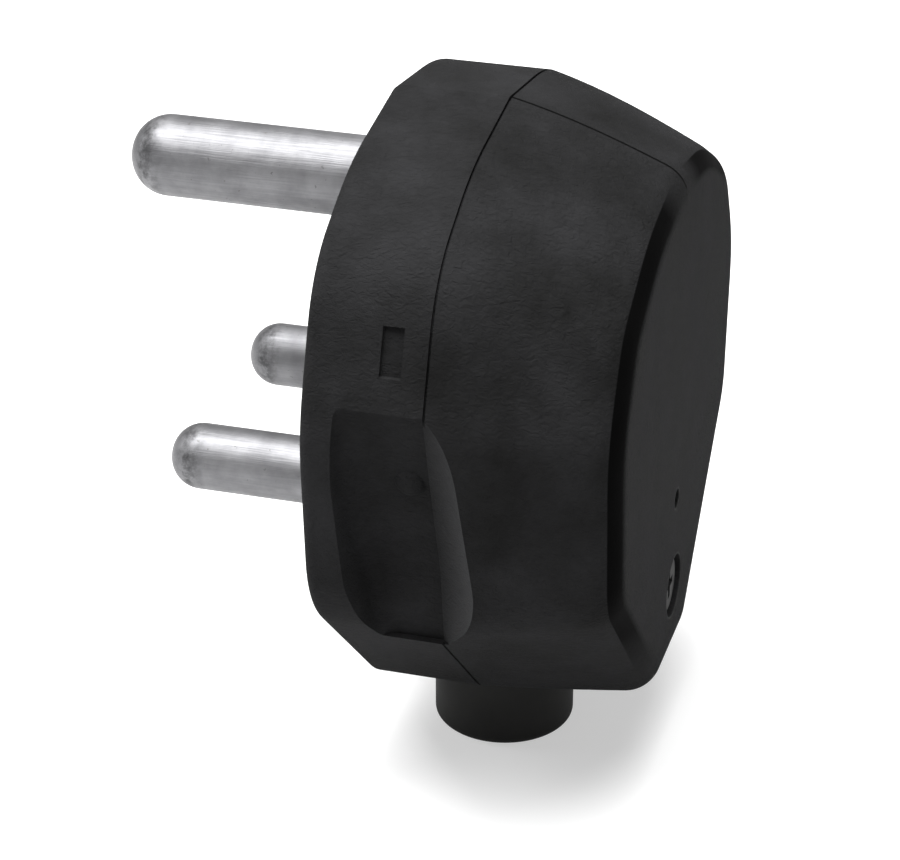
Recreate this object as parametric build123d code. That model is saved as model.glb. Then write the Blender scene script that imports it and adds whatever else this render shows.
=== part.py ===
from build123d import *
import os

# Three-pin plug top for round pins, rewirable, with a screwed rear cover.
# Millimetres. The pins point along +Y, the earth pin is up along +Z, +X is to the right seen from the cover.
# The origin is on the pin face, midway between the live and the neutral pin.

# Contact pins
PIN_SPACING = 25.4
EARTH_RISE = 28.575
LINE_PIN_DIAMETER = 7.06
LINE_PIN_LENGTH = 20.62
EARTH_PIN_DIAMETER = 8.71
EARTH_PIN_LENGTH = 28.58
PIN_TIP_FLAT = 0.25
PIN_FLANGE_WIDTH = 2.6
PIN_FLANGE_THICKNESS = 2.2
PIN_COLLAR = 0.4
FLANGE_FLAT_SHARE = 0.78
TERMINAL_POST_DIAMETER = 8.0
TERMINAL_POST_LENGTH = 3.6

# Outline of the body, seen along the pins
BODY_WIDTH = 65.8
CREST_ABOVE_EARTH = 10.7
CROWN_WIDTH = 29.0
CROWN_DROP = 2.1
SHOULDER_INSET = 5.6
SHOULDER_DROP = 8.3
WIDEST_HEIGHT = 15.0
SIDE_LEAN = 1.6
CORNER_HEIGHT = -5.2
FOOT_WIDTH = 18.0
FOOT_HEIGHT = -26.4
CROWN_RADIUS = 30.0
SHOULDER_RADIUS = 14.0
WIDEST_RADIUS = 22.0
CORNER_RADIUS = 13.0
FOOT_RADIUS = 9.0
LEAST_RADIUS = 1.2

# How far the cover draws in from the seam to its flat back
BACK_CREST_DROP = 6.6
BACK_SHOULDER_INSET = 4.6
BACK_SHOULDER_DROP = 6.4
BACK_SIDE_INSET = 4.8
BACK_CORNER_RISE = 1.2
BACK_FOOT_INSET = 2.0
BACK_FOOT_RISE = 1.6
STEADY_DRAW = 0.5
LATE_DRAW = 0.5
LATE_DRAW_POWER = 1.5
LOFT_STEPS = [0.0, 0.3, 0.65, 1.0]

# Depth of the two mouldings
FRONT_DEPTH = 12.6
FRONT_FLOOR = 6.0
FRONT_EDGE_RADIUS = 1.3
COVER_DEPTH = 18.8
COVER_EDGE_RADIUS = 3.8
WALL = 3.0

# Locating lip between the mouldings
LIP_THICKNESS = 1.0
LIP_HEIGHT = 1.5
FIT = 0.2
GAP = 0.3
SEAM_GROOVE_WIDTH = 0.25
SEAM_GROOVE_DEPTH = 0.4

# Finger scoops in the two sides
SCOOP_TOP = 21.4
SCOOP_BOTTOM = -11.0
FLANGE_EDGE = 2.6
SCOOP_DEPTH = 8.6
SCOOP_CORNER_RADIUS = 2.0
SCOOP_OVERRUN = 4.0
SCOOP_KNEE = 3.0
# Share of the way down, share of the depth, extra width of the flange, reach of the ramp on the cover
SCOOP_PROFILE = [
    (0.0, 0.02, 0.0, 3.2),
    (0.37, 0.42, 0.2, 5.4),
    (0.73, 0.85, 1.2, 7.4),
    (1.0, 1.0, 2.6, 9.0),
]

# Cord entry
GROMMET_DIAMETER = 15.4
GROMMET_END = -34.2
GROMMET_SEAT = -25.5
CORD_BORE = 8.4
NECK_DIAMETER = 11.0
NECK_LENGTH = 3.0
GROMMET_FLANGE_DIAMETER = 14.0
GROMMET_FLANGE_THICKNESS = 2.0
GROMMET_EDGE_RADIUS = 0.8

# Cord grip and the cover's fixing
GRIP_HEIGHT = -15.2
GRIP_BAR_WIDTH = 6.4
GRIP_BAR_THICKNESS = 2.4
GRIP_SCREW_SPACING = 20.6
GRIP_BORE = 8.0
GRIP_BOSS_DIAMETER = 7.0
GRIP_INSERT_DIAMETER = 4.4
GRIP_INSERT_LENGTH = 5.0
GRIP_SCREW_DIAMETER = 3.0
GRIP_SCREW_HEAD_DIAMETER = 5.4
GRIP_SCREW_HEAD_HEIGHT = 2.0
COVER_SCREW_DIAMETER = 4.0
COVER_SCREW_HEAD_DIAMETER = 6.6
COVER_SCREW_HEAD_HEIGHT = 2.5
COVER_SCREW_SINK = 0.5
COVER_WASHER_THICKNESS = 0.6
COVER_INSERT_DIAMETER = 5.6
COVER_INSERT_LENGTH = 4.4
GRIP_NUT_BOSS_DIAMETER = 8.6
NUT_BOSS_SINK = 1.6
COVER_BOSS_WALL = 1.4
SCREW_RECESS_DEPTH = 1.3
SCREW_RECESS_WIDTH = 0.9
INSERT_CHAMFER = 0.25

# Terminal screws
TERMINAL_SCREW_DIAMETER = 4.0
TERMINAL_SCREW_LENGTH = 6.0
TERMINAL_HEAD_DIAMETER = 7.2
TERMINAL_HEAD_HEIGHT = 2.4
TERMINAL_WASHER_DIAMETER = 8.6
TERMINAL_WASHER_THICKNESS = 0.8
SLOT_WIDTH = 1.0
SLOT_DEPTH = 1.1
HEAD_ROUNDING = 0.2
END_CHAMFER = 0.12

# Ribs of the cover that hold the pins down, and its hook
RIB_THICKNESS = 1.6
RIB_HEIGHT = 7.0
HOOK_WIDTH = 5.0
HOOK_THICKNESS = 1.6
HOOK_REACH = 3.4
HOOK_NIB = 1.6
HOOK_NIB_LENGTH = 1.2
HOOK_WEB = 2.4

# Insulating barrier between the terminals
BARRIER_THICKNESS = 1.6
BARRIER_WIDTH = 18.0
BARRIER_LOW = -8.0
BARRIER_HIGH = 19.0
BARRIER_SHORT = 0.8

# How far a rib is sunk into its wall, a cutter runs past a face, two solids share at a joint,
# and two corners lie apart and still count as one
ROOT = 0.5
CUT = 1.0
SLIVER = 0.01
SAME_PLACE = 1e-4

# Small marks of the mouldings
VENT_DIAMETER = 2.2
VENT_DEPTH = 2.2
VENT_HEIGHT = -4.5
POCKET_LENGTH = 4.8
POCKET_WIDTH = 2.2
POCKET_DEPTH = 0.5
POCKET_HEIGHT = 23.8
POCKET_SETBACK = 9.0
STUD_RADIUS = 1.8
STUD_HEIGHT = 9.8

HALF_WIDTH = BODY_WIDTH / 2
ROOF_FALL = 2 * CROWN_DROP / CROWN_WIDTH
CREST = EARTH_RISE + CREST_ABOVE_EARTH
SEAM = -FRONT_DEPTH
BACK = -(FRONT_DEPTH + COVER_DEPTH)
PINS = {
    "earth": (0.0, EARTH_RISE, EARTH_PIN_DIAMETER, EARTH_PIN_LENGTH),
    "live": (PIN_SPACING / 2, 0.0, LINE_PIN_DIAMETER, LINE_PIN_LENGTH),
    "neutral": (-PIN_SPACING / 2, 0.0, LINE_PIN_DIAMETER, LINE_PIN_LENGTH),
}
OUTLINE = [
    (0.0, CREST),
    (CROWN_WIDTH / 2, CREST - CROWN_DROP),
    (HALF_WIDTH - SHOULDER_INSET, CREST - SHOULDER_DROP),
    (HALF_WIDTH, WIDEST_HEIGHT),
    (HALF_WIDTH - SIDE_LEAN, CORNER_HEIGHT),
    (FOOT_WIDTH / 2, FOOT_HEIGHT),
]
OUTLINE_RADII = [0.0, CROWN_RADIUS, SHOULDER_RADIUS, WIDEST_RADIUS, CORNER_RADIUS, FOOT_RADIUS]
DRAW_IN = [
    (0.0, -BACK_CREST_DROP),
    (-BACK_SHOULDER_INSET / 2, -BACK_CREST_DROP),
    (-BACK_SHOULDER_INSET, -BACK_SHOULDER_DROP),
    (-BACK_SIDE_INSET, 0.0),
    (-BACK_SIDE_INSET, BACK_CORNER_RISE),
    (-BACK_FOOT_INSET, BACK_FOOT_RISE),
]


def section(y, inset, draw=0.0):
    """The body's outline across the pins at depth y, moved inwards by inset and drawn in by a share."""
    right = [(x + draw * dx, z + draw * dz) for (x, z), (dx, dz) in zip(OUTLINE, DRAW_IN)]
    left = [(-x, z) for x, z in reversed(right) if x > 0]
    face = make_face(Polyline(*right, *left, close=True))
    if inset:
        face = offset(face, amount=-inset, kind=Kind.INTERSECTION)
    levels = [[v.center() for v in level] for level in face.vertices().group_by(Axis.Y)[::-1]]
    for level, radius in zip(levels, OUTLINE_RADII):
        if radius:
            corners = [v for v in face.vertices() if min((v.center() - p).length for p in level) < SAME_PLACE]
            face = fillet(corners, max(radius - inset - draw * BACK_SIDE_INSET, LEAST_RADIUS))
    return Plane.XZ.offset(-y) * face


def prism(y_front, y_back, inset):
    """A straight block with the body's outline between two depths."""
    return extrude(section(y_front, inset), amount=y_front - y_back)


def along_y(x, z, y_front, y_back, radius):
    """A round bar along Y between two depths."""
    return Plane.XZ.offset(-y_front) * Pos(x, z) * extrude(Circle(radius), amount=y_front - y_back)


def block(x, y, z):
    """A box given by its lowest and highest value along each axis."""
    centre = Pos((x[0] + x[1]) / 2, (y[0] + y[1]) / 2, (z[0] + z[1]) / 2)
    return centre * Box(x[1] - x[0], y[1] - y[0], z[1] - z[0])


def both_sides(solid):
    return solid + mirror(solid, about=Plane.YZ)


def drawn_in(depth):
    """The share of its draw that the cover has reached behind the seam: gently at first, then steadily."""
    share = depth / COVER_DEPTH
    return STEADY_DRAW * share + LATE_DRAW * share ** LATE_DRAW_POWER


def cover_loft(wall, depth):
    """The cover's tapering form, wall inside its surface, from the seam back to a depth."""
    steps = [depth * share for share in LOFT_STEPS]
    return loft([section(SEAM - step, wall, drawn_in(step)) for step in steps])


def scoop_section(z, depth, front, ramp):
    outer = HALF_WIDTH + SCOOP_OVERRUN
    floor = HALF_WIDTH - depth
    face = make_face(Polyline(
        (outer, -front),
        (floor, -front - SCOOP_CORNER_RADIUS / 2),
        (floor, SEAM),
        (HALF_WIDTH + FIT, SEAM - ramp),
        (outer, SEAM - ramp),
        close=True,
    ))
    inner = face.vertices().sort_by(Axis.X)[:2].sort_by(Axis.Y)[-1]
    return Pos(0, 0, z) * fillet(inner, min(SCOOP_CORNER_RADIUS, depth))


def scoop():
    """The hollow for a finger in the right side: a deepening groove behind the flange, ramped at the cover."""
    run = SCOOP_TOP - SCOOP_BOTTOM
    return loft([
        scoop_section(SCOOP_TOP - down * run, deep * SCOOP_DEPTH, FLANGE_EDGE + extra, ramp)
        for down, deep, extra, ramp in SCOOP_PROFILE
    ], ruled=True)


def scoop_depth(z):
    """How deep the finger scoop is at a height."""
    way = (SCOOP_TOP - z) / (SCOOP_TOP - SCOOP_BOTTOM)
    for (above, start, _, _), (below, end, _, _) in zip(SCOOP_PROFILE, SCOOP_PROFILE[1:]):
        if above <= way <= below:
            return SCOOP_DEPTH * (start + (end - start) * (way - above) / (below - above))
    return 0.0


def cheek(y_front, y_back):
    """The thick part of the wall that backs a finger scoop, on the right."""
    inner = HALF_WIDTH - SCOOP_DEPTH - WALL
    outer = HALF_WIDTH + SCOOP_OVERRUN
    low = FOOT_HEIGHT - WALL
    top = SCOOP_TOP + SCOOP_OVERRUN
    face = make_face(Polyline((inner, low), (inner, SCOOP_KNEE), (outer, top), (outer, low), close=True))
    face = fillet(face.vertices().sort_by(Axis.X)[:2].sort_by(Axis.Y)[-1], WALL)
    return extrude(Plane.XZ.offset(-y_front) * face, amount=y_front - y_back)


def rim(y_front, y_back, outside, inside):
    """A band that follows the mouth of the cavity, between two distances outside it."""
    outer = prism(y_front, y_back, WALL - outside) - both_sides(Pos(outside, 0, 0) * cheek(y_front, y_back))
    front, back = y_front + CUT, y_back - CUT
    return outer - (prism(front, back, WALL - inside) - both_sides(Pos(inside, 0, 0) * cheek(front, back)))


def grommet_room():
    """What the grommet takes out of the two mouldings."""
    seat = Pos(0, SEAM, GROMMET_SEAT)
    low = Align.CENTER, Align.CENTER, Align.MAX
    high = Align.CENTER, Align.CENTER, Align.MIN
    collar = seat * Cylinder(GROMMET_DIAMETER / 2 + FIT, -GROMMET_END, align=low)
    neck = seat * Cylinder(NECK_DIAMETER / 2, NECK_LENGTH + CUT, align=high)
    flange_room = GROMMET_FLANGE_THICKNESS + GAP
    flange = Pos(0, 0, NECK_LENGTH) * seat * Cylinder(GROMMET_FLANGE_DIAMETER / 2 + FIT, flange_room, align=high)
    return collar + neck + flange


def pin_flange_radius(diameter):
    return diameter / 2 + PIN_FLANGE_WIDTH


def flange_blank(x, z, diameter, y_front, y_back, clearance):
    """A pin's flange: a disc with two flats that keep it from turning."""
    radius = pin_flange_radius(diameter) + clearance
    disc = along_y(x, z, y_front, y_back, radius)
    half_flat = pin_flange_radius(diameter) * FLANGE_FLAT_SHARE + clearance
    return disc & block((x - radius, x + radius), (y_back, y_front), (z - half_flat, z + half_flat))


def front_moulding():
    body = prism(0, SEAM, 0)
    body = fillet(body.faces().sort_by(Axis.Y)[-1].edges(), FRONT_EDGE_RADIUS)
    cavity = prism(-FRONT_FLOOR, SEAM, WALL) - both_sides(cheek(0, SEAM - CUT))
    body -= cavity
    body += rim(SEAM, SEAM - LIP_HEIGHT, LIP_THICKNESS, 0)
    body -= both_sides(scoop())
    stud_x = HALF_WIDTH - scoop_depth(STUD_HEIGHT) - STUD_RADIUS / 2
    body += both_sides(Pos(stud_x, SEAM + STUD_RADIUS + FIT, STUD_HEIGHT) * Sphere(STUD_RADIUS))

    # saddle for the cord and the bosses of the cord grip
    grip = (GRIP_HEIGHT - GRIP_BAR_WIDTH / 2, GRIP_HEIGHT + GRIP_BAR_WIDTH / 2)
    saddle = GRIP_BORE / 2 + GRIP_BAR_THICKNESS
    body += block((-saddle, saddle), (SEAM, -FRONT_FLOOR), grip)
    boss = along_y(GRIP_SCREW_SPACING / 2, GRIP_HEIGHT, -FRONT_FLOOR, SEAM, GRIP_BOSS_DIAMETER / 2)
    body += both_sides(boss)
    insert = along_y(
        GRIP_SCREW_SPACING / 2, GRIP_HEIGHT, SEAM + GRIP_INSERT_LENGTH, SEAM, GRIP_INSERT_DIAMETER / 2)
    body -= both_sides(insert)
    body -= Pos(0, SEAM, GRIP_HEIGHT) * Cylinder(GRIP_BORE / 2, 2 * GRIP_BAR_WIDTH)

    # barrier between the terminals
    half = BARRIER_THICKNESS / 2
    tip = SEAM + BARRIER_SHORT
    body += block((-half, half), (tip, -FRONT_FLOOR), (BARRIER_LOW, BARRIER_HIGH))
    body += block(
        (-BARRIER_WIDTH / 2, BARRIER_WIDTH / 2), (tip, -FRONT_FLOOR), (BARRIER_HIGH - half, BARRIER_HIGH + half))

    # seats of the pins, with their flats
    for x, z, diameter, _ in PINS.values():
        body -= along_y(x, z, CUT, -FRONT_FLOOR - CUT, diameter / 2 + PIN_COLLAR + FIT / 2)
        body -= flange_blank(x, z, diameter, -FRONT_FLOOR + PIN_FLANGE_THICKNESS, -FRONT_FLOOR - CUT, FIT / 2)

    body -= grommet_room()
    body -= hook(GAP)
    body -= both_sides(side_pocket())
    return body


def side_pocket():
    """A shallow mark in the side above a finger scoop, the same depth all over."""
    shape = Pos(HALF_WIDTH, -POCKET_SETBACK, POCKET_HEIGHT) * Box(HALF_WIDTH, POCKET_WIDTH, POCKET_LENGTH)
    return shape - prism(0, SEAM, POCKET_DEPTH)


def hook(clearance):
    """The cover's hook under the crest of the front moulding."""
    half = HOOK_WIDTH / 2 + clearance
    top = CREST - WALL - half * ROOF_FALL - GAP + clearance
    low = top - HOOK_THICKNESS - 2 * clearance
    tip = SEAM + HOOK_REACH + clearance
    tongue = block((-half, half), (SEAM - LIP_HEIGHT - 2 * GAP, tip), (low, top))
    nib = block((-half, half), (tip - HOOK_NIB_LENGTH - 2 * clearance, tip), (low, top + HOOK_NIB))
    return tongue + nib


def rear_cover():
    body = cover_loft(0, COVER_DEPTH)
    body = fillet(body.faces().sort_by(Axis.Y)[0].edges(), COVER_EDGE_RADIUS)
    cheek_back = SEAM - COVER_DEPTH / 2
    cavity = cover_loft(WALL, COVER_DEPTH - WALL) - both_sides(cheek(SEAM + CUT, cheek_back))
    body -= cavity
    body -= rim(SEAM, SEAM - LIP_HEIGHT - GAP, LIP_THICKNESS + FIT, -SLIVER)
    groove_back = SEAM - SEAM_GROOVE_WIDTH
    body -= prism(SEAM, groove_back, -CUT) - prism(SEAM, groove_back, SEAM_GROOVE_DEPTH)
    body -= both_sides(scoop())

    # ribs that reach forward to the flanges of the pins
    inside = BACK + WALL
    for x, z, diameter, _ in PINS.values():
        inner = TERMINAL_WASHER_DIAMETER / 2 + GAP
        outer = inner + RIB_THICKNESS
        tip = -FRONT_FLOOR - GAP
        for left, right in ((x - outer, x - inner), (x + inner, x + outer)):
            body += block((left, right), (inside - ROOT, tip), (z - RIB_HEIGHT / 2, z + RIB_HEIGHT / 2))

    # hook, with the web that ties it to the top wall
    body += hook(0)
    half = HOOK_WIDTH / 2
    root = CREST - WALL - half * ROOF_FALL - GAP - HOOK_THICKNESS
    web_back = SEAM - LIP_HEIGHT - 2 * GAP - HOOK_WEB
    body += block((-half, half), (web_back, SEAM - LIP_HEIGHT - 2 * GAP), (root, CREST - WALL))

    # boss of the cover screw
    boss_tip = cover_nut_face() - GAP
    radius = COVER_SCREW_HEAD_DIAMETER / 2
    body += along_y(0, GRIP_HEIGHT, boss_tip, inside - ROOT, radius + COVER_BOSS_WALL)
    body -= along_y(0, GRIP_HEIGHT, boss_tip + CUT, BACK - CUT, COVER_SCREW_DIAMETER / 2 + FIT)
    body -= along_y(0, GRIP_HEIGHT, screw_seat(), BACK - CUT, radius + FIT)
    body -= along_y(0, VENT_HEIGHT, BACK + VENT_DEPTH, BACK - CUT, VENT_DIAMETER / 2)
    body -= grommet_room()
    return body


def screw_seat():
    """Depth of the counterbore's floor under the cover screw's washer."""
    return BACK + COVER_SCREW_SINK + COVER_SCREW_HEAD_HEIGHT + COVER_WASHER_THICKNESS


def cover_nut_face():
    """Depth of the rear face of the cord grip's central boss."""
    crown = GRIP_BORE / 2 + GRIP_BAR_THICKNESS
    return SEAM - crown - COVER_INSERT_LENGTH + NUT_BOSS_SINK


def cord_grommet():
    bore = CORD_BORE / 2
    seat = GROMMET_SEAT
    neck_top = seat + NECK_LENGTH + FIT / 2
    top = neck_top + GROMMET_FLANGE_THICKNESS
    collar = GROMMET_DIAMETER / 2
    half = make_face(Polyline(
        (bore, GROMMET_END), (collar, GROMMET_END), (collar, seat), (NECK_DIAMETER / 2, seat),
        (NECK_DIAMETER / 2, neck_top), (GROMMET_FLANGE_DIAMETER / 2, neck_top),
        (GROMMET_FLANGE_DIAMETER / 2, top), (bore, top), close=True,
    ))
    ends = half.vertices().group_by(Axis.Y)[0]
    half = fillet(ends, GROMMET_EDGE_RADIUS)
    return Pos(0, SEAM, 0) * revolve(Plane.XZ * half, Axis.Z)


def pin(name):
    x, z, diameter, length = PINS[name]
    radius = diameter / 2
    shank = along_y(x, z, length, -FRONT_FLOOR, radius)
    shank = fillet(shank.edges().sort_by(Axis.Y)[-1], radius - PIN_TIP_FLAT)
    collar = along_y(x, z, 0, -FRONT_FLOOR, radius + PIN_COLLAR)
    flange = flange_blank(x, z, diameter, -FRONT_FLOOR + PIN_FLANGE_THICKNESS, -FRONT_FLOOR, 0)
    post = along_y(x, z, -FRONT_FLOOR, post_end(), TERMINAL_POST_DIAMETER / 2)
    tapped = TERMINAL_SCREW_LENGTH + CUT
    hole = along_y(x, z, post_end() + tapped, post_end() - CUT, TERMINAL_SCREW_DIAMETER / 2)
    return shank + collar + flange + post - hole


def post_end():
    """Depth of the face that the clamp washer bears on."""
    return -FRONT_FLOOR - TERMINAL_POST_LENGTH


def terminal_washer(name):
    x, z, _, _ = PINS[name]
    back = post_end() - TERMINAL_WASHER_THICKNESS
    washer = along_y(x, z, post_end(), back, TERMINAL_WASHER_DIAMETER / 2)
    return washer - along_y(x, z, post_end() + CUT, back - CUT, TERMINAL_SCREW_DIAMETER / 2 + FIT / 2)


def slotted_screw(x, z, seat, diameter, length, head_diameter, head_height):
    """A cheese-head screw that points along +Y, its head behind the depth seat."""
    head = along_y(x, z, seat, seat - head_height, head_diameter / 2)
    head = fillet(head.edges().sort_by(Axis.Y)[0], HEAD_ROUNDING * head_height)
    across = head_diameter / 2 + CUT
    slot = block(
        (x - across, x + across), (seat - head_height - CUT, seat - head_height + SLOT_DEPTH),
        (z - SLOT_WIDTH / 2, z + SLOT_WIDTH / 2))
    shank = along_y(x, z, seat + length, seat, diameter / 2)
    shank = chamfer(shank.edges().sort_by(Axis.Y)[-1], END_CHAMFER * diameter)
    return head - slot + shank


def terminal_screw(name):
    x, z, _, _ = PINS[name]
    seat = post_end() - TERMINAL_WASHER_THICKNESS
    length = TERMINAL_SCREW_LENGTH + TERMINAL_WASHER_THICKNESS
    return slotted_screw(
        x, z, seat, TERMINAL_SCREW_DIAMETER, length, TERMINAL_HEAD_DIAMETER, TERMINAL_HEAD_HEIGHT)


def cord_grip_bar():
    """A moulded saddle over the cord, with lugs for its screws and a boss for the cover's insert."""
    crown = GRIP_BORE / 2 + GRIP_BAR_THICKNESS
    lug = GRIP_SCREW_SPACING / 2 + GRIP_BOSS_DIAMETER / 2
    arch = Pos(0, SEAM, GRIP_HEIGHT) * Cylinder(crown, GRIP_BAR_WIDTH)
    rear = block((-lug, lug), (SEAM - 3 * crown, SEAM), (GRIP_HEIGHT - crown, GRIP_HEIGHT + crown))
    bar = arch & rear
    low, high = GRIP_HEIGHT - GRIP_BAR_WIDTH / 2, GRIP_HEIGHT + GRIP_BAR_WIDTH / 2
    lugs = block((-lug, lug), (SEAM - GRIP_BAR_THICKNESS, SEAM), (low, high))
    lugs = fillet(lugs.edges().filter_by(Axis.Y), GRIP_BAR_WIDTH / 2 - SLIVER)
    bar += lugs
    bar += along_y(0, GRIP_HEIGHT, SEAM - GRIP_BORE / 2, cover_nut_face(), GRIP_NUT_BOSS_DIAMETER / 2)
    bar -= Pos(0, SEAM, GRIP_HEIGHT) * Cylinder(GRIP_BORE / 2, 2 * GRIP_NUT_BOSS_DIAMETER)
    nut_front = cover_nut_face() + COVER_INSERT_LENGTH
    bar -= along_y(0, GRIP_HEIGHT, nut_front, cover_nut_face() - CUT, COVER_INSERT_DIAMETER / 2)
    hole = along_y(
        GRIP_SCREW_SPACING / 2, GRIP_HEIGHT, SEAM + CUT, SEAM - GRIP_BAR_THICKNESS - CUT,
        GRIP_SCREW_DIAMETER / 2 + FIT)
    return bar - both_sides(hole)


def insert(x, z, y_front, y_back, diameter, thread):
    """A brass bush with chamfered ends, bored right through for its thread."""
    body = along_y(x, z, y_front, y_back, diameter / 2)
    body = chamfer(body.edges().filter_by(GeomType.CIRCLE), INSERT_CHAMFER)
    return body - along_y(x, z, y_front + CUT, y_back - CUT, thread / 2)


def cover_screw():
    seat = screw_seat() - COVER_WASHER_THICKNESS
    radius = COVER_SCREW_HEAD_DIAMETER / 2
    head = along_y(0, GRIP_HEIGHT, seat, seat - COVER_SCREW_HEAD_HEIGHT, radius)
    head = fillet(head.edges().sort_by(Axis.Y)[0], HEAD_ROUNDING * COVER_SCREW_HEAD_HEIGHT)
    shank = along_y(0, GRIP_HEIGHT, cover_nut_face() + COVER_INSERT_LENGTH - GAP, seat, COVER_SCREW_DIAMETER / 2)
    shank = chamfer(shank.edges().sort_by(Axis.Y)[-1], END_CHAMFER * COVER_SCREW_DIAMETER)
    top = seat - COVER_SCREW_HEAD_HEIGHT
    arm = radius / 2
    half = SCREW_RECESS_WIDTH / 2
    depth = (top - CUT, top + SCREW_RECESS_DEPTH)
    cross = block((-arm, arm), depth, (GRIP_HEIGHT - half, GRIP_HEIGHT + half))
    cross += block((-half, half), depth, (GRIP_HEIGHT - arm, GRIP_HEIGHT + arm))
    return head + shank - cross


def cover_screw_washer():
    back = screw_seat() - COVER_WASHER_THICKNESS
    washer = along_y(0, GRIP_HEIGHT, screw_seat(), back, COVER_SCREW_HEAD_DIAMETER / 2)
    return washer - along_y(0, GRIP_HEIGHT, screw_seat() + CUT, back - CUT, COVER_SCREW_DIAMETER / 2)


nodes = {
    "front_moulding": front_moulding(),
    "rear_cover": rear_cover(),
    "cord_grommet": cord_grommet(),
    "cord_grip_bar": cord_grip_bar(),
    "cover_insert": insert(
        0, GRIP_HEIGHT, cover_nut_face() + COVER_INSERT_LENGTH, cover_nut_face(),
        COVER_INSERT_DIAMETER, COVER_SCREW_DIAMETER),
    "cover_screw": cover_screw(),
    "cover_screw_washer": cover_screw_washer(),
}
for name in PINS:
    nodes[name + "_pin"] = pin(name)
    nodes[name + "_terminal_washer"] = terminal_washer(name)
    nodes[name + "_terminal_screw"] = terminal_screw(name)
for side, x in (("left", -GRIP_SCREW_SPACING / 2), ("right", GRIP_SCREW_SPACING / 2)):
    nodes["cord_grip_insert_" + side] = insert(
        x, GRIP_HEIGHT, SEAM + GRIP_INSERT_LENGTH, SEAM, GRIP_INSERT_DIAMETER, GRIP_SCREW_DIAMETER)
    nodes["cord_grip_screw_" + side] = slotted_screw(
        x, GRIP_HEIGHT, SEAM - GRIP_BAR_THICKNESS, GRIP_SCREW_DIAMETER,
        GRIP_BAR_THICKNESS + GRIP_INSERT_LENGTH - GAP, GRIP_SCREW_HEAD_DIAMETER, GRIP_SCREW_HEAD_HEIGHT)

os.makedirs("parts", exist_ok=True)
for name, solid in nodes.items():
    export_step(solid, os.path.join("parts", name + ".step"))
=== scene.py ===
import math

import bpy
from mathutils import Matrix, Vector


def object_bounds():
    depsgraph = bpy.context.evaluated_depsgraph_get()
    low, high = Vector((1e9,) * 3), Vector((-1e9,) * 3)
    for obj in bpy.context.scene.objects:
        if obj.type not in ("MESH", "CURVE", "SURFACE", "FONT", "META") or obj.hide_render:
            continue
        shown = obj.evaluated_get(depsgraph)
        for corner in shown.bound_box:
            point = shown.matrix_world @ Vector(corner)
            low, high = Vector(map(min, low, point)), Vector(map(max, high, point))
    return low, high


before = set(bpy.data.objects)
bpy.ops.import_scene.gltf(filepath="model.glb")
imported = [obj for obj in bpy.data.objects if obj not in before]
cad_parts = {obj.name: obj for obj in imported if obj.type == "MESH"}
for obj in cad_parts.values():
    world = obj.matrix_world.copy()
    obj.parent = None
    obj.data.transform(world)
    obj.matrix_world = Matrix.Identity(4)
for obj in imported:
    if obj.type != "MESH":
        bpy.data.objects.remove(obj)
cad_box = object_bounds()


# Body and rear cover
# Two compression mouldings of black thermoset from a fine-textured tool, held together by one screw.
# The skin is nearly matt, with short leathery ripples, a fine grain, and patches dulled by handling.
# The ripples and the grain are drawn coarser than they are, so that they show.
def linear(hex_colour):
    """A Blender colour from an sRGB hex value."""
    levels = [int(hex_colour[i:i + 2], 16) / 255 for i in (1, 3, 5)]
    return [v / 12.92 if v <= 0.04045 else ((v + 0.055) / 1.055) ** 2.4 for v in levels] + [1.0]


def add(tree, kind, sockets=None, **settings):
    """Adds a node with its settings; a socket takes a value or another node's output."""
    node = tree.nodes.new(kind)
    for name, value in settings.items():
        setattr(node, name, value)
    for name, value in (sockets or {}).items():
        if isinstance(value, bpy.types.NodeSocket):
            tree.links.new(value, node.inputs[name])
        else:
            node.inputs[name].default_value = value
    return node


def material(name, sockets):
    """A new material with its shader's own values; gives the material, its nodes and its shader."""
    made = bpy.data.materials.new(name)
    made.use_nodes = True
    tree = made.node_tree
    shader = tree.nodes["Principled BSDF"]
    for socket, value in sockets.items():
        shader.inputs[socket].default_value = value
    return made, tree, shader


def dress(made, *names):
    """Gives the CAD nodes with these names a material."""
    for name in names:
        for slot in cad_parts[name].material_slots:
            slot.material = made


MM = 0.001
SEAM_DEPTH = 12.6 * MM
BACK_DEPTH = 31.4 * MM
HANDLING = 12 * MM

moulded, tree, shader = material("moulded_black_thermoset", {
    "IOR": 1.55, "Metallic": 0.0, "Specular IOR Level": 0.03})
place = add(tree, "ShaderNodeTexCoord").outputs["Object"]
patches = add(tree, "ShaderNodeTexNoise", {
    "Vector": place, "Scale": 1 / HANDLING, "Detail": 4.0, "Roughness": 0.6})
tone = add(tree, "ShaderNodeValToRGB", {"Fac": patches.outputs["Fac"]})
tone.color_ramp.elements[0].position = 0.32
tone.color_ramp.elements[0].color = linear("#181818")
tone.color_ramp.elements[1].position = 0.68
tone.color_ramp.elements[1].color = linear("#272728")
gloss = add(tree, "ShaderNodeMapRange", {
    "Value": patches.outputs["Fac"], "From Min": 0.3, "From Max": 0.7, "To Min": 0.76, "To Max": 0.88})

# A hair-thin flash line, left where the tool's two slides met, runs back along the crest of the cover.
# It is cut as a fine groove, and shade is painted into it nearly black.
FLASH_HALF_WIDTH = 0.14 * MM
FLASH_EDGE = 0.05 * MM
FLASH_LOWEST = 31.3 * MM
FLASH_CUT = 0.08 * MM

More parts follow.
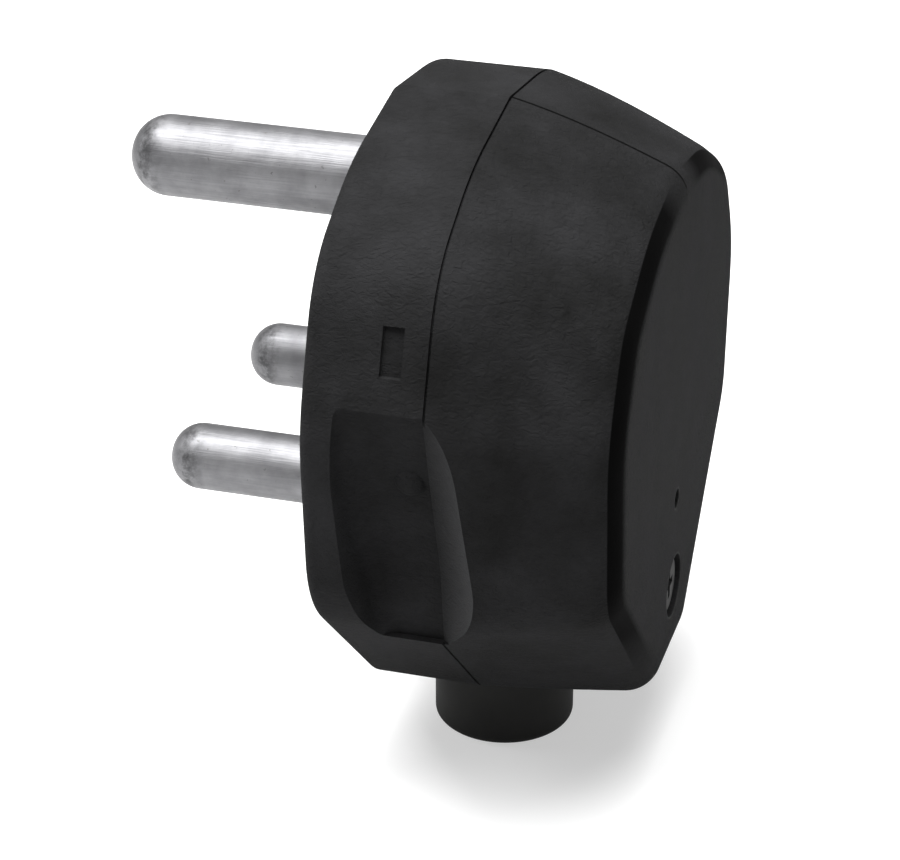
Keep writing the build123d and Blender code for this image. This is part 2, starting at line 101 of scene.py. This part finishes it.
axes = add(tree, "ShaderNodeSeparateXYZ", {"Vector": place})
off_middle = add(tree, "ShaderNodeMath", {0: axes.outputs["X"]}, operation="ABSOLUTE")
on_line = add(tree, "ShaderNodeMapRange", {
    "Value": off_middle.outputs["Value"],
    "From Min": FLASH_HALF_WIDTH, "From Max": FLASH_HALF_WIDTH + FLASH_EDGE,
    "To Min": 1.0, "To Max": 0.0})
high = add(tree, "ShaderNodeMath", {0: axes.outputs["Z"], 1: FLASH_LOWEST}, operation="GREATER_THAN")
behind = add(tree, "ShaderNodeMath", {0: axes.outputs["Y"], 1: -SEAM_DEPTH}, operation="LESS_THAN")
up_and_back = add(tree, "ShaderNodeMath", {
    0: high.outputs["Value"], 1: behind.outputs["Value"]}, operation="MULTIPLY")
flash = add(tree, "ShaderNodeMath", {
    0: on_line.outputs["Result"], 1: up_and_back.outputs["Value"]}, operation="MULTIPLY")
# Painted shade: the flash line's groove is coloured nearly black.
flash_shade_painted = add(tree, "ShaderNodeMixRGB", {
    "Fac": flash.outputs["Value"], "Color1": tone.outputs["Color"], "Color2": linear("#020202")})

# Shade is painted nearly black onto the last of the cover's rounded edge, which is also made duller;
# both fade out at the foot and at the crest.
EDGE_BACK = (0.02 * MM, 0.2 * MM)
EDGE_FRONT = (1.25 * MM, 1.35 * MM)
FOOT_FADE = (-20 * MM, -10 * MM)
CREST_FADE = (2 * MM, 7 * MM)
EDGE_DULLNESS = 0.12

off_back = add(tree, "ShaderNodeMapRange", {
    "Value": axes.outputs["Y"],
    "From Min": EDGE_BACK[0] - BACK_DEPTH, "From Max": EDGE_BACK[1] - BACK_DEPTH})
near_back = add(tree, "ShaderNodeMapRange", {
    "Value": axes.outputs["Y"],
    "From Min": EDGE_FRONT[0] - BACK_DEPTH, "From Max": EDGE_FRONT[1] - BACK_DEPTH,
    "To Min": 1.0, "To Max": 0.0})
rounded = add(tree, "ShaderNodeMath", {
    0: off_back.outputs["Result"], 1: near_back.outputs["Result"]}, operation="MULTIPLY")
above_foot = add(tree, "ShaderNodeMapRange", {
    "Value": axes.outputs["Z"], "From Min": FOOT_FADE[0], "From Max": FOOT_FADE[1]})
beside_crest = add(tree, "ShaderNodeMapRange", {
    "Value": off_middle.outputs["Value"], "From Min": CREST_FADE[0], "From Max": CREST_FADE[1]})
around = add(tree, "ShaderNodeMath", {
    0: above_foot.outputs["Result"], 1: beside_crest.outputs["Result"]}, operation="MULTIPLY")
painted_shade_band = add(tree, "ShaderNodeMath", {
    0: rounded.outputs["Value"], 1: around.outputs["Value"]}, operation="MULTIPLY")
# Painted shade: the rounded edge band is coloured nearly black.
edge_shade_painted = add(tree, "ShaderNodeMixRGB", {
    "Fac": painted_shade_band.outputs["Value"], "Color1": flash_shade_painted.outputs["Color"], "Color2": linear("#030303")})
duller = add(tree, "ShaderNodeMath", {
    0: painted_shade_band.outputs["Value"], 1: EDGE_DULLNESS, 2: gloss.outputs["Result"]}, operation="MULTIPLY_ADD")
tree.links.new(duller.outputs["Value"], shader.inputs["Roughness"])

# The ramps of the finger scoops face forward, and light is painted onto them, paler towards their outer
# edge.
RAMP_LENGTH = 4 * MM
RAMP_FACING = (0.15, 0.4)

facing = add(tree, "ShaderNodeNewGeometry")
turned = add(tree, "ShaderNodeSeparateXYZ", {"Vector": facing.outputs["Normal"]})
forward = add(tree, "ShaderNodeMapRange", {
    "Value": turned.outputs["Y"], "From Min": RAMP_FACING[0], "From Max": RAMP_FACING[1]})
outward = add(tree, "ShaderNodeMapRange", {
    "Value": axes.outputs["Y"], "From Min": -SEAM_DEPTH - RAMP_LENGTH, "From Max": -SEAM_DEPTH,
    "To Min": 0.9, "To Max": 0.25})
ramp = add(tree, "ShaderNodeMath", {
    0: forward.outputs["Result"], 1: behind.outputs["Value"]}, operation="MULTIPLY")
ramp_light_mask = add(tree, "ShaderNodeMath", {
    0: ramp.outputs["Value"], 1: outward.outputs["Result"]}, operation="MULTIPLY")
# Painted light: the forward-facing ramps are coloured paler.
ramp_light_painted = add(tree, "ShaderNodeMixRGB", {
    "Fac": ramp_light_mask.outputs["Value"], "Color1": edge_shade_painted.outputs["Color"], "Color2": linear("#3b3b3c")})

# The rims of the vent and of the screw's counterbore, each a height and a radius, are painted paler.
VENT = (-4.5 * MM, 1.1 * MM)
COUNTERBORE = (-15.2 * MM, 3.5 * MM)
RIM_PALE_WIDTH = 0.3 * MM
RIM_DEPTH = 0.1 * MM

on_back = add(tree, "ShaderNodeMath", {
    0: axes.outputs["Y"], 1: RIM_DEPTH - BACK_DEPTH}, operation="LESS_THAN")
flat = add(tree, "ShaderNodeCombineXYZ", {"X": axes.outputs["X"], "Z": axes.outputs["Z"]})
skin = ramp_light_painted
for height, radius in (VENT, COUNTERBORE):
    away = add(tree, "ShaderNodeVectorMath", {
        0: flat.outputs["Vector"], 1: (0, 0, height)}, operation="DISTANCE")
    rim = add(tree, "ShaderNodeMapRange", {
        "Value": away.outputs["Value"], "From Min": radius, "From Max": radius + RIM_PALE_WIDTH,
        "To Min": 0.8, "To Max": 0.0})
    pale_rim = add(tree, "ShaderNodeMath", {
        0: rim.outputs["Result"], 1: on_back.outputs["Value"]}, operation="MULTIPLY")
    skin = add(tree, "ShaderNodeMixRGB", {
        "Fac": pale_rim.outputs["Value"], "Color1": skin.outputs["Color"], "Color2": linear("#3c3c3c")})
tree.links.new(skin.outputs["Color"], shader.inputs["Base Color"])

# The skin's relief is the grain, then the ripples, which run out on the dull edge band with its painted
# shade, then the flash line.
GRAIN = 0.30 * MM
GRAIN_HEIGHT = 0.03 * MM
RIPPLE_ACROSS = 0.60 * MM
RIPPLE_ALONG = 1.05 * MM
RIPPLE_HEIGHT = 0.34 * MM

along_pins = add(tree, "ShaderNodeMapping", {
    "Vector": place, "Scale": (1 / RIPPLE_ACROSS, 1 / RIPPLE_ALONG, 1 / RIPPLE_ACROSS)},
    vector_type="POINT")
ripples = add(tree, "ShaderNodeTexNoise", {
    "Vector": along_pins.outputs["Vector"], "Scale": 1.0,
    "Detail": 5.0, "Roughness": 0.62, "Distortion": 1.2})
grain = add(tree, "ShaderNodeTexVoronoi", {"Vector": place, "Scale": 1 / GRAIN, "Randomness": 1.0})
fine = add(tree, "ShaderNodeBump", {
    "Height": grain.outputs["Distance"], "Strength": 0.4, "Distance": GRAIN_HEIGHT})
depth = add(tree, "ShaderNodeMapRange", {"Value": painted_shade_band.outputs["Value"], "To Min": 0.9, "To Max": 0.1})
leather = add(tree, "ShaderNodeBump", {
    "Height": ripples.outputs["Fac"], "Strength": depth.outputs["Result"], "Distance": RIPPLE_HEIGHT,
    "Normal": fine.outputs["Normal"]})
cut = add(tree, "ShaderNodeBump", {
    "Height": flash.outputs["Value"], "Strength": 1.0, "Distance": FLASH_CUT,
    "Normal": leather.outputs["Normal"]}, invert=True)
tree.links.new(cut.outputs["Normal"], shader.inputs["Normal"])
dress(moulded, "front_moulding", "rear_cover")


# Cord grommet
# A soft collar of black rubber, moulded round and held by its neck between the two mouldings.
# Rubber is duller than the mouldings and a shade warmer, with a fine bloom.
BLOOM = 12 * MM
SPECK = 0.35 * MM
SPECK_HEIGHT = 0.04 * MM

rubber, tree, shader = material("moulded_black_rubber", {
    "IOR": 1.52, "Roughness": 0.75, "Specular IOR Level": 0.2})
place = add(tree, "ShaderNodeTexCoord").outputs["Object"]
bloom = add(tree, "ShaderNodeTexNoise", {"Vector": place, "Scale": 1 / BLOOM, "Detail": 4.0})
tone = add(tree, "ShaderNodeValToRGB", {"Fac": bloom.outputs["Fac"]})
tone.color_ramp.elements[0].position = 0.35
tone.color_ramp.elements[0].color = linear("#1a1a19")
tone.color_ramp.elements[1].position = 0.7
tone.color_ramp.elements[1].color = linear("#232322")
tree.links.new(tone.outputs["Color"], shader.inputs["Base Color"])
speck = add(tree, "ShaderNodeTexNoise", {"Vector": place, "Scale": 1 / SPECK, "Detail": 3.0})
relief = add(tree, "ShaderNodeBump", {
    "Height": speck.outputs["Fac"], "Strength": 0.3, "Distance": SPECK_HEIGHT})
tree.links.new(relief.outputs["Normal"], shader.inputs["Normal"])
dress(rubber, "cord_grommet")


# Contact pins
# Solid brass bar, turned, tumbled and nickel plated, dropped into the front moulding from inside.
# It is a satin grey metal with faint draw marks along its length, cloudy patches and a few dark specks.
DRAW_MARK = 0.16 * MM
DRAW_LENGTH = 6 * MM
DRAW_HEIGHT = 0.035 * MM
CLOUD = 3.5 * MM
PIT = 0.6 * MM

plated, tree, shader = material("satin_nickel_plate", {"Metallic": 1.0})
place = add(tree, "ShaderNodeTexCoord").outputs["Object"]
along = add(tree, "ShaderNodeMapping", {
    "Vector": place, "Scale": (1 / DRAW_MARK, 1 / DRAW_LENGTH, 1 / DRAW_MARK)}, vector_type="POINT")
marks = add(tree, "ShaderNodeTexNoise", {
    "Vector": along.outputs["Vector"], "Scale": 1.0, "Detail": 3.0})
cloud = add(tree, "ShaderNodeTexNoise", {
    "Vector": place, "Scale": 1 / CLOUD, "Detail": 5.0, "Roughness": 0.6})
tone = add(tree, "ShaderNodeValToRGB", {"Fac": cloud.outputs["Fac"]})
tone.color_ramp.elements[0].position = 0.3
tone.color_ramp.elements[0].color = linear("#676769")
tone.color_ramp.elements[1].position = 0.7
tone.color_ramp.elements[1].color = linear("#7f7f81")
pits = add(tree, "ShaderNodeTexNoise", {
    "Vector": place, "Scale": 1 / PIT, "Detail": 2.0, "Roughness": 0.6})
pitted = add(tree, "ShaderNodeMapRange", {
    "Value": pits.outputs["Fac"], "From Min": 0.69, "From Max": 0.75, "To Max": 0.6})
spotted = add(tree, "ShaderNodeMixRGB", {
    "Fac": pitted.outputs["Result"], "Color1": tone.outputs["Color"], "Color2": linear("#4e4c4a")})

# The socket has rubbed the shoulder of each round tip dark in patches, measured here from the tip back.
LINE_TIP = 20.62 * MM
EARTH_TIP = 28.58 * MM
BETWEEN_PINS = (10 * MM, 20 * MM)
NOSE_FADE = (1.0 * MM, 2.0 * MM)
SHANK_FADE = (2.8 * MM, 4.6 * MM)
RUB_PATCH = 1.4 * MM

axes = add(tree, "ShaderNodeSeparateXYZ", {"Vector": place})
tip = add(tree, "ShaderNodeMapRange", {
    "Value": axes.outputs["Z"], "From Min": BETWEEN_PINS[0], "From Max": BETWEEN_PINS[1],
    "To Min": LINE_TIP, "To Max": EARTH_TIP})
from_tip = add(tree, "ShaderNodeMath", {
    0: tip.outputs["Result"], 1: axes.outputs["Y"]}, operation="SUBTRACT")
past_nose = add(tree, "ShaderNodeMapRange", {
    "Value": from_tip.outputs["Value"], "From Min": NOSE_FADE[0], "From Max": NOSE_FADE[1]})
before_shank = add(tree, "ShaderNodeMapRange", {
    "Value": from_tip.outputs["Value"], "From Min": SHANK_FADE[0], "From Max": SHANK_FADE[1],
    "To Min": 1.0, "To Max": 0.0})
shoulder = add(tree, "ShaderNodeMath", {
    0: past_nose.outputs["Result"], 1: before_shank.outputs["Result"]}, operation="MULTIPLY")
rubbing = add(tree, "ShaderNodeTexNoise", {
    "Vector": place, "Scale": 1 / RUB_PATCH, "Detail": 5.0, "Roughness": 0.7})
patchy = add(tree, "ShaderNodeMapRange", {
    "Value": rubbing.outputs["Fac"], "From Min": 0.42, "From Max": 0.62, "To Max": 0.75})
rubbed = add(tree, "ShaderNodeMath", {
    0: shoulder.outputs["Value"], 1: patchy.outputs["Result"]}, operation="MULTIPLY")
plate = add(tree, "ShaderNodeMixRGB", {
    "Fac": rubbed.outputs["Value"], "Color1": spotted.outputs["Color"], "Color2": linear("#343435")})
tree.links.new(plate.outputs["Color"], shader.inputs["Base Color"])
satin = add(tree, "ShaderNodeMapRange", {
    "Value": marks.outputs["Fac"], "From Min": 0.3, "From Max": 0.7, "To Min": 0.46, "To Max": 0.60})
tree.links.new(satin.outputs["Result"], shader.inputs["Roughness"])
relief = add(tree, "ShaderNodeBump", {
    "Height": marks.outputs["Fac"], "Strength": 0.8, "Distance": DRAW_HEIGHT})
tree.links.new(relief.outputs["Normal"], shader.inputs["Normal"])
dress(plated, "earth_pin", "live_pin", "neutral_pin")


# Screw inserts and clamp washers
# Plain brass, the inserts turned from bar and the washers stamped from strip, left unplated.
# It is a warm yellow that has dulled a little in the hand.
TARNISH = 2 * MM

brass, tree, shader = material("plain_brass", {"Metallic": 1.0})
place = add(tree, "ShaderNodeTexCoord").outputs["Object"]
tarnish = add(tree, "ShaderNodeTexNoise", {"Vector": place, "Scale": 1 / TARNISH, "Detail": 4.0})
tone = add(tree, "ShaderNodeValToRGB", {"Fac": tarnish.outputs["Fac"]})
tone.color_ramp.elements[0].color = linear("#a8823e")
tone.color_ramp.elements[1].color = linear("#cfae62")
tree.links.new(tone.outputs["Color"], shader.inputs["Base Color"])
dulled = add(tree, "ShaderNodeMapRange", {
    "Value": tarnish.outputs["Fac"], "To Min": 0.25, "To Max": 0.45})
tree.links.new(dulled.outputs["Result"], shader.inputs["Roughness"])
dress(brass, "cover_insert", "cord_grip_insert_left", "cord_grip_insert_right",
      "earth_terminal_washer", "live_terminal_washer", "neutral_terminal_washer")


# Terminal and cord grip screws
# Cold-headed steel with bright zinc plate, screwed into the pins' posts and the grip's inserts.
# The plate is a bluish white metal, a little grainy.
PLATE_GRAIN = 0.3 * MM

zinc, tree, shader = material("bright_zinc_plate", {"Metallic": 1.0})
place = add(tree, "ShaderNodeTexCoord").outputs["Object"]
plate = add(tree, "ShaderNodeTexNoise", {"Vector": place, "Scale": 1 / PLATE_GRAIN, "Detail": 3.0})
tone = add(tree, "ShaderNodeValToRGB", {"Fac": plate.outputs["Fac"]})
tone.color_ramp.elements[0].color = linear("#b4b8bd")
tone.color_ramp.elements[1].color = linear("#d2d6da")
tree.links.new(tone.outputs["Color"], shader.inputs["Base Color"])
grainy = add(tree, "ShaderNodeMapRange", {
    "Value": plate.outputs["Fac"], "To Min": 0.22, "To Max": 0.38})
tree.links.new(grainy.outputs["Result"], shader.inputs["Roughness"])
dress(zinc, "cord_grip_screw_left", "cord_grip_screw_right",
      "earth_terminal_screw", "live_terminal_screw", "neutral_terminal_screw")


# Cover screw
# The same steel, blackened with phosphate and oil so that it does not stand out in the cover.
# The finish is nearly black and dull, a shade paler in patches where a driver has rubbed it.
RUB = 0.8 * MM

blackened, tree, shader = material("black_phosphate_steel", {
    "Metallic": 0.0, "Specular IOR Level": 0.25})
place = add(tree, "ShaderNodeTexCoord").outputs["Object"]
rub = add(tree, "ShaderNodeTexNoise", {"Vector": place, "Scale": 1 / RUB, "Detail": 4.0})
tone = add(tree, "ShaderNodeValToRGB", {"Fac": rub.outputs["Fac"]})
tone.color_ramp.elements[0].color = linear("#1a1a1a")
tone.color_ramp.elements[1].color = linear("#2c2c2c")
tree.links.new(tone.outputs["Color"], shader.inputs["Base Color"])
rubbed = add(tree, "ShaderNodeMapRange", {"Value": rub.outputs["Fac"], "To Min": 0.6, "To Max": 0.8})
tree.links.new(rubbed.outputs["Result"], shader.inputs["Roughness"])
dress(blackened, "cover_screw")


# Cover screw washer
# Punched from red vulcanised fibre and laid under the cover screw's head, to spare the moulding.
# It is a dense pressed paper with a soft, slightly mottled face.
MOTTLE = 0.9 * MM

fibre, tree, shader = material("red_vulcanised_fibre", {"Roughness": 0.75, "IOR": 1.5})
place = add(tree, "ShaderNodeTexCoord").outputs["Object"]
mottle = add(tree, "ShaderNodeTexNoise", {"Vector": place, "Scale": 1 / MOTTLE, "Detail": 4.0})
tone = add(tree, "ShaderNodeValToRGB", {"Fac": mottle.outputs["Fac"]})
tone.color_ramp.elements[0].color = linear("#5b2a20")
tone.color_ramp.elements[1].color = linear("#7d3c2c")
tree.links.new(tone.outputs["Color"], shader.inputs["Base Color"])
dress(fibre, "cover_screw_washer")


# Cord grip bar
# Injection moulded in black nylon and held down on the cord by its two screws.
# Nylon is tougher than the mouldings and a little shinier, with faint flow clouds.
FLOW = 3.5 * MM

nylon, tree, shader = material("moulded_black_nylon", {"IOR": 1.53, "Roughness": 0.36})
place = add(tree, "ShaderNodeTexCoord").outputs["Object"]
flow = add(tree, "ShaderNodeTexNoise", {"Vector": place, "Scale": 1 / FLOW, "Detail": 3.0})
tone = add(tree, "ShaderNodeValToRGB", {"Fac": flow.outputs["Fac"]})
tone.color_ramp.elements[0].color = linear("#262627")
tone.color_ramp.elements[1].color = linear("#303031")
tree.links.new(tone.outputs["Color"], shader.inputs["Base Color"])
dress(nylon, "cord_grip_bar")


# Floor
# A pale studio floor just below the collar. Camera, mirror and transmission rays also see it glow,
# so the background is white and the soft shadow under the plug remains.
FLOOR_SIZE = 6.0
FLOOR_GAP = 0.2 * MM
FLOOR_GLOW = 0.5

bpy.ops.object.select_all(action="DESELECT")
bpy.ops.mesh.primitive_plane_add(size=FLOOR_SIZE, location=(0, 0, cad_box[0][2] - FLOOR_GAP))
floor = bpy.context.object
floor.name = "floor"
paper, tree, shader = material("pale_studio_paper", {
    "Base Color": linear("#c8c8c8"), "Roughness": 0.9})
rays = add(tree, "ShaderNodeLightPath")
mirrored = add(tree, "ShaderNodeMath", {
    0: rays.outputs["Is Glossy Ray"], 1: rays.outputs["Is Transmission Ray"]}, operation="MAXIMUM")
seen = add(tree, "ShaderNodeMath", {
    0: rays.outputs["Is Camera Ray"], 1: mirrored.outputs["Value"]}, operation="MAXIMUM")
glow = add(tree, "ShaderNodeMath", {0: seen.outputs["Value"], 1: FLOOR_GLOW}, operation="MULTIPLY")
shader.inputs["Emission Color"].default_value = linear("#ffffff")
tree.links.new(glow.outputs["Value"], shader.inputs["Emission Strength"])
floor.data.materials.append(paper)


# World
# A studio that lights softly from all round, and is pale grey where it is seen or mirrored.
LIGHTING_LEVEL = 0.16
SEEN_LEVEL = 0.5

studio = bpy.data.worlds.new("studio")
bpy.context.scene.world = studio
studio.use_nodes = True
tree = studio.node_tree
ambient = tree.nodes["Background"]
ambient.inputs["Color"].default_value = linear("#ffffff")
rays = add(tree, "ShaderNodeLightPath")
mirrored = add(tree, "ShaderNodeMath", {
    0: rays.outputs["Is Glossy Ray"], 1: rays.outputs["Is Transmission Ray"]}, operation="MAXIMUM")
seen = add(tree, "ShaderNodeMath", {
    0: rays.outputs["Is Camera Ray"], 1: mirrored.outputs["Value"]}, operation="MAXIMUM")
level = add(tree, "ShaderNodeMapRange", {
    "Value": seen.outputs["Value"], "To Min": LIGHTING_LEVEL, "To Max": SEEN_LEVEL})
tree.links.new(level.outputs["Result"], ambient.inputs["Strength"])


# Lamps
# A wide soft box overhead, a little to the pins' side, and a small faint one far out beyond the pins.
for name, place, size, power in (
    ("overhead_box", (-0.10, 0.14, 1.00), (0.95, 0.95), 33.0),
    ("pin_side_box", (-0.10, 0.90, 0.40), (0.3, 0.3), 2.0),
):
    data = bpy.data.lights.new(name, "AREA")
    data.shape = "RECTANGLE"
    data.size, data.size_y = size
    data.energy = power
    lamp = bpy.data.objects.new(name, data)
    bpy.context.collection.objects.link(lamp)
    lamp.location = place
    lamp.rotation_euler = lamp.location.to_track_quat("Z", "Y").to_euler()


# Camera
# It stands where the photograph was taken from, on the cover's left and a little above.
IMAGE_WIDTH = 900
FOCAL_PIXELS = 3153.57
AZIMUTH = math.radians(-73.959)
ELEVATION = math.radians(27.606)
CAMERA_PLACE = (-0.28951, -0.08949, 0.15763)

view = bpy.data.cameras.new("camera")
view.sensor_fit = "HORIZONTAL"
view.sensor_width = 36.0
view.lens = view.sensor_width * FOCAL_PIXELS / IMAGE_WIDTH
camera = bpy.data.objects.new("camera", view)
bpy.context.collection.objects.link(camera)
camera.location = CAMERA_PLACE
camera.rotation_euler = (math.pi / 2 - ELEVATION, 0, AZIMUTH)
bpy.context.scene.camera = camera
bpy.context.scene.view_settings.view_transform = "Standard"
